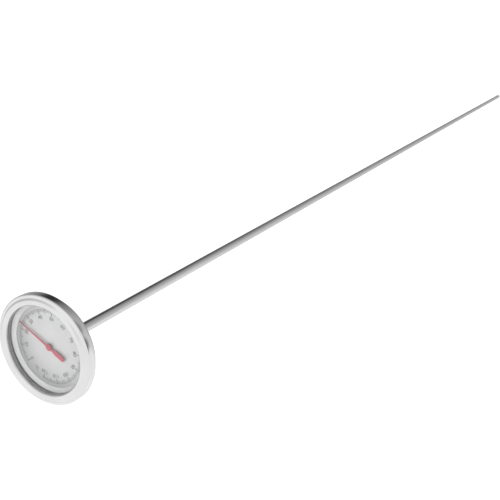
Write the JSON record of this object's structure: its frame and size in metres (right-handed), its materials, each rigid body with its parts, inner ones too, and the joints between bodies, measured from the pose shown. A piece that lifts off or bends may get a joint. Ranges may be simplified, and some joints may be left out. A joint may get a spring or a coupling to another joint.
{
  "type": "dial thermometer",
  "caption": "Bimetal dial thermometer for brewing: small round stainless head with a red pointer on a long thin probe stem.",
  "frame": {"origin": "on the stem's axis, at the underside of the hex nut, where the bare stem leaves the head", "axes": "+Z out of the dial's face along the stem's axis, stem towards -Z, +Y towards the dial's 12 o'clock, +X towards its 3 o'clock"},
  "size_m": [0.052, 0.052, 1.0196],
  "materials": {
    "bezel_steel": "polished",
    "case_steel": "satin",
    "stem_steel": "fine ground",
    "nut_steel": "turned",
    "washer_steel": "satin",
    "spindle_steel": "drawn wire",
    "retainer_steel": "bright anodised",
    "seat_metal": "mill",
    "dial_face": "satin light grey",
    "lens_clear": "clear flat",
    "gasket_rubber": "soft black",
    "bush_plastic": "white bearing plastic",
    "bearing_brass": "turned",
    "bimetal": "bimetal strip",
    "pointer_red": "gloss red"
  },
  "bodies": {
    "stem": {"stem_tube": "stem_steel", "stem_tip": "stem_steel", "calibration_nut": "nut_steel", "neck_washer": "washer_steel", "friction_washer": "washer_steel", "stem_collar": "nut_steel", "upper_bearing": "bearing_brass", "lower_bearing": "bush_plastic", "guide_bush_1": "bush_plastic", "guide_bush_2": "bush_plastic", "guide_bush_3": "bush_plastic", "guide_bush_4": "bush_plastic", "guide_bush_5": "bush_plastic", "helix_anchor": "bearing_brass", "bimetal_helix": "bimetal"},
    "head": {"bezel_ring": "bezel_steel", "case_cup": "case_steel", "dial_seat_ring": "seat_metal", "dial_plate": "dial_face", "dial_retainer_ring": "retainer_steel", "lens": "lens_clear", "lens_gasket": "gasket_rubber"},
    "pointer": {"spindle_rod": "spindle_steel", "helix_hub": "bearing_brass", "pointer_hub": "pointer_red", "pointer_needle": "pointer_red"}
  },
  "joints": [
    {"name": "pointer_turn", "type": "hinge", "parent": "stem", "child": "pointer", "pos_m": [0, 0, 0], "axis": [0, 0, -1], "range_deg": [-64.8, 259.2], "stiffness_Nm_per_rad": 0.00026, "deforming": ["bimetal_helix"]},
    {"name": "calibration_turn", "type": "hinge", "parent": "stem", "child": "head", "pos_m": [0, 0, 0], "axis": [0, 0, 1], "continuous": true}
  ]
}
